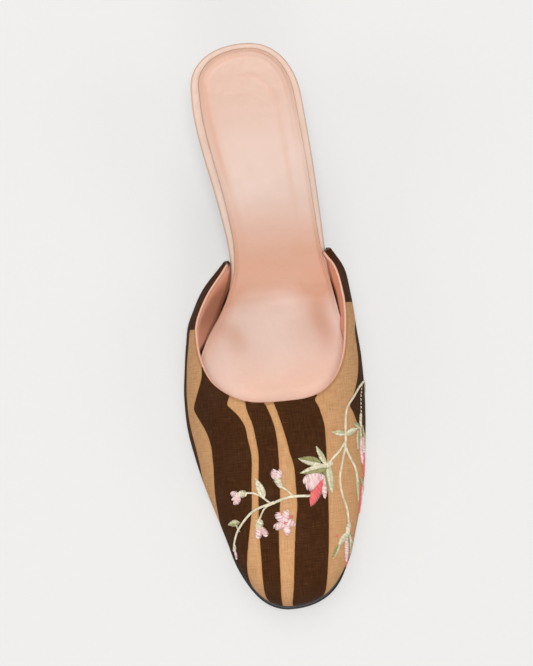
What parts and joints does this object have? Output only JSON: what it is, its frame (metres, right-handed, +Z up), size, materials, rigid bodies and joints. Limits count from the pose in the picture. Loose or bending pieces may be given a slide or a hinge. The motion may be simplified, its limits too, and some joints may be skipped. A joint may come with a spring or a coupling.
{
  "type": "mule",
  "caption": "Left high-heeled mule: closed rounded toe, open back, lined canvas upper, leather insole and sock, thin sole and a slim curved covered heel.",
  "frame": {"origin": "middle of the bounding box's footprint, on the floor under the forefoot and the heel tip", "axes": "+Y from the toe to the back of the seat, +X to the outer (lateral) side of this left shoe, +Z up"},
  "size_m": [0.0804, 0.2476, 0.0665],
  "materials": {
    "outsole": "smooth black sole leather",
    "insole": "smooth pink-nude leather, satin",
    "sock": "smooth pink-nude leather, satin",
    "upper": "plain-weave printed canvas, matte",
    "heel": "dark brown canvas cover, matte",
    "heel_tip": "matte black"
  },
  "bodies": {
    "root": {"outsole": "outsole", "insole": "insole", "sock": "sock", "upper": "upper", "heel": "heel", "heel_tip": "heel_tip"}
  },
  "joints": []
}
